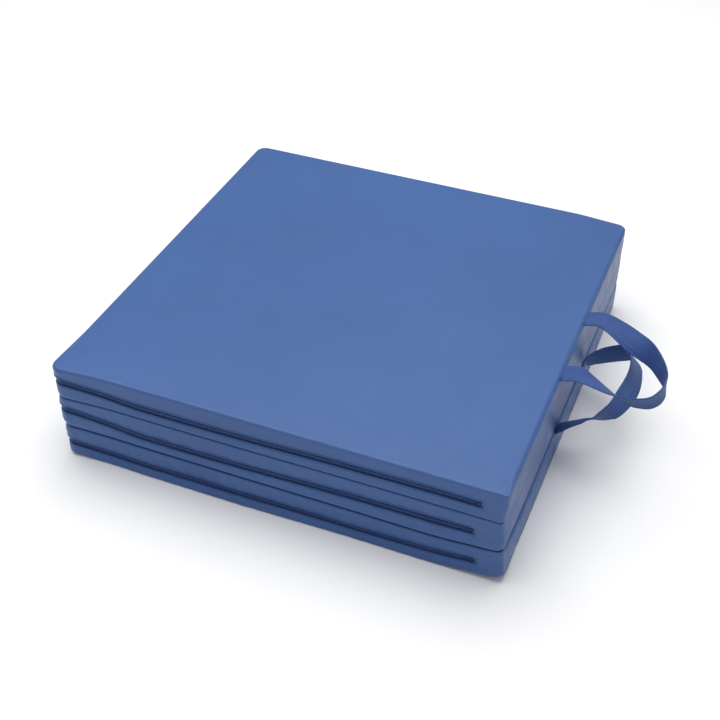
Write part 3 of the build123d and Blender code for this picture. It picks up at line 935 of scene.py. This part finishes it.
# (place across, half thickness), in millimetres, from the centre to the edge
STRAP_SECTION = ((0, 1.0), (2.6, 1.05), (5.2, 1.0), (7.8, 1.05), (10.2, 1.05), (11.2, 0.72), (12.2, 1.05), (13.9, 1.0),
                 (14.7, 0.7), (15.0, 0.25))
STRAP_STEP = 3 * MM
STRAP_TWIST = math.radians(5)  # how far its roll wanders
CUP = 0.9 * MM  # how far the webbing's edges curl
EDGE_SEAM = 11.2  # where the seams along its edges are, in millimetres across


def spline(points, step):
    """Points every step along a smooth line through the given ones, which may carry more than three numbers."""
    given = np.array(points, float)
    given = np.concatenate([[2 * given[0] - given[1]], given, [2 * given[-1] - given[-2]]])
    dense = []
    for a, b, c, d in zip(given[:-3], given[1:-2], given[2:-1], given[3:]):
        for t in np.linspace(0, 1, 24, endpoint=False):
            dense.append(0.5 * (2 * b + (c - a) * t + (2 * a - 5 * b + 4 * c - d) * t * t
                                + (3 * b - a - 3 * c + d) * t ** 3))
    dense = np.array(dense + [given[-2]])
    run = np.concatenate([[0], np.cumsum(np.linalg.norm(np.diff(dense[:, :3], axis=0), axis=1))])
    wanted = np.linspace(0, run[-1], round(run[-1] / step) + 1)
    return np.stack([np.interp(wanted, run, dense[:, k]) for k in range(dense.shape[1])], 1), wanted


def strap_frames(line, seed):
    """Centres, and directions ahead, across and through the strap, along its line."""
    samples, run = spline(line, STRAP_STEP)
    centre, roll = samples[:, :3], np.radians(samples[:, 3])
    wobble = np.array([noise.noise(Vector((seed, v * 22, 0.0))) for v in run])
    roll = roll + STRAP_TWIST * wobble * np.sin(np.pi * run / run[-1])
    ahead = np.gradient(centre, axis=0)
    ahead /= np.linalg.norm(ahead, axis=1)[:, None]
    level = np.cross(ahead, (0.0, 0.0, 1.0))
    level /= np.linalg.norm(level, axis=1)[:, None]
    upward = np.cross(level, ahead)
    across = level * np.cos(roll)[:, None] + upward * np.sin(roll)[:, None]
    return centre, ahead, across, np.cross(across, ahead), run


def curl(across):
    return CUP * (across / STRAP_SECTION[-1][0]) ** 2


def make_handle(name, line, seed):
    centre, ahead, across, through, run = strap_frames(line, seed)
    upper_side = [(-w, t) for w, t in STRAP_SECTION[:0:-1]] + list(STRAP_SECTION)
    section = upper_side + [(w, -t) for w, t in upper_side[::-1]]
    points = np.stack([centre + across * (w * MM) + through * (t * MM - curl(w)) for w, t in section], 1)
    sides, count = len(section), len(run)
    strap = mesh_object(f"{name}_handle_strap", points.reshape(-1, 3), tube_faces(count, sides))
    weave = np.stack([np.tile([w * MM for w, _ in section], count), np.repeat(run, sides), np.zeros(count * sides)], 1)
    point_attribute(strap, "weave", weave, "FLOAT_VECTOR")
    finish_piece(strap, WEBBING, f"{name}_handle_loop", [f"{name}_handle"])

    marks = np.arange(6 * MM, run[-1] - 6 * MM, 3.8 * MM)

    def read(values):
        return np.stack([np.interp(marks, run, values[:, k]) for k in range(3)], 1)

    rows = [read(centre) + read(across) * (edge * EDGE_SEAM * MM) + read(through) * (face * 0.8 * MM - curl(EDGE_SEAM))
            for edge in (-1, 1) for face in (-1, 1)]
    turned = [np.tile(read(way), (len(rows), 1)) for way in (ahead, across, through)]
    seam = scatter(f"{name}_handle_stitches", bead(2.9 * MM, 0.6 * MM, 0.55 * MM), np.concatenate(rows), *turned)
    finish_piece(seam, THREAD, f"{name}_handle_loop")
    for obj in (strap, seam):
        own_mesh(obj)
    print(f"{name} handle: {run[-1]:.4f} m of webbing between its seams")


def make_tucks(name, line, body):
    """The strap's two ends where they go into the seam."""
    centres = np.array([(x - 4 * MM, y, z) for x, y, z, _ in (line[0], line[-1])])
    turned = [np.tile(way, (2, 1)) for way in np.eye(3)]
    obj = scatter(f"{name}_handle_tucks", bead(10 * MM, 31 * MM, 2.6 * MM, 9, 24), centres, *turned)
    flat = np.array([v.co for v in obj.data.vertices])
    point_attribute(obj, "weave", flat[:, [1, 0, 2]], "FLOAT_VECTOR")
    finish_piece(obj, WEBBING, body)


for name in PANELS:
    make_cover(name)
    make_foam(name)
    make_zipper(name)

fold_cloth("right_fold_spine", 1, Vector((0, SPINE_LOW.y, SPINE_Z[0])), Vector((0, SPINE_HIGH.y, SPINE_Z[1])),
           "middle", "top", RIGHT_FOLD_Z, ("spine_lower_half", "spine_upper_half"))
fold_cloth("left_fold_strip", -1, STRIP_LOW, STRIP_HIGH, "bottom", "middle", LEFT_FOLD_Z,
           ("left_strip_lower_half", "left_strip_upper_half"))
make_handle("upper", UPPER_LINE, 1.0)
make_handle("lower", LOWER_LINE, 2.0)
make_tucks("upper", UPPER_LINE, "top_panel")
make_tucks("lower", LOWER_LINE, "bottom_panel")


# ======== Studio: a pale floor, soft light and the camera ========
FLOOR_REACH, FLOOR_ROWS = 6.0, 13
WORLD_STRENGTH = 0.44
LIGHT_AT, LIGHT_TO, LIGHT_SIZE, LIGHT_POWER = (-0.25, 0.3, 2.4), (0, 0, 0.1), 2.8, 66
# the camera, solved from the photograph's perspective
LENS, SENSOR = 59.6, 36
CAMERA_AT = (0.499, -1.216, 1.114)
CAMERA_RIGHT, CAMERA_AHEAD = (0.9246, 0.3810, 0), (-0.2931, 0.7112, -0.6390)


def make_floor():
    line = np.linspace(-FLOOR_REACH, FLOOR_REACH, FLOOR_ROWS)
    xs, ys = np.meshgrid(line, line, indexing="ij")
    points = np.stack([xs, ys, np.full_like(xs, BASE_Z["bottom"] - 0.2 * MM)], -1).reshape(-1, 3)
    floor = mesh_object("studio_floor", points, grid_faces(FLOOR_ROWS, FLOOR_ROWS))
    shader = Shader("studio_floor")
    tint = shader.mix(shader.noise(shader.place(), 3, 2), (0.93, 0.93, 0.93), (0.96, 0.96, 0.96))
    floor.data.materials.append(shader.finish_with(Base_Color=tint, Roughness=0.9, Specular_IOR_Level=0.1))


def make_studio():
    scene = bpy.context.scene
    world = bpy.data.worlds.new("studio")
    world.use_nodes = True
    background = world.node_tree.nodes["Background"]
    background.inputs["Color"].default_value = (1, 1, 1, 1)
    background.inputs["Strength"].default_value = WORLD_STRENGTH
    scene.world = world
    data = bpy.data.lights.new("overhead", "AREA")
    data.shape = "RECTANGLE"
    data.size = data.size_y = LIGHT_SIZE
    data.energy = LIGHT_POWER
    light = bpy.data.objects.new("overhead", data)
    scene.collection.objects.link(light)
    light.location = LIGHT_AT
    light.rotation_euler = (Vector(LIGHT_TO) - Vector(LIGHT_AT)).to_track_quat("-Z", "Y").to_euler()
    scene.view_settings.view_transform = "Standard"


def make_camera():
    data = bpy.data.cameras.new("camera")
    data.lens = LENS
    data.sensor_width = SENSOR
    camera = bpy.data.objects.new("camera", data)
    bpy.context.scene.collection.objects.link(camera)
    ahead = Vector(CAMERA_AHEAD).normalized()
    up = Vector(CAMERA_RIGHT).cross(ahead).normalized()
    turn = Matrix((ahead.cross(up), up, -ahead)).transposed()
    camera.matrix_world = Matrix.Translation(CAMERA_AT) @ turn.to_4x4()
    bpy.context.scene.camera = camera


make_floor()
make_studio()
make_camera()
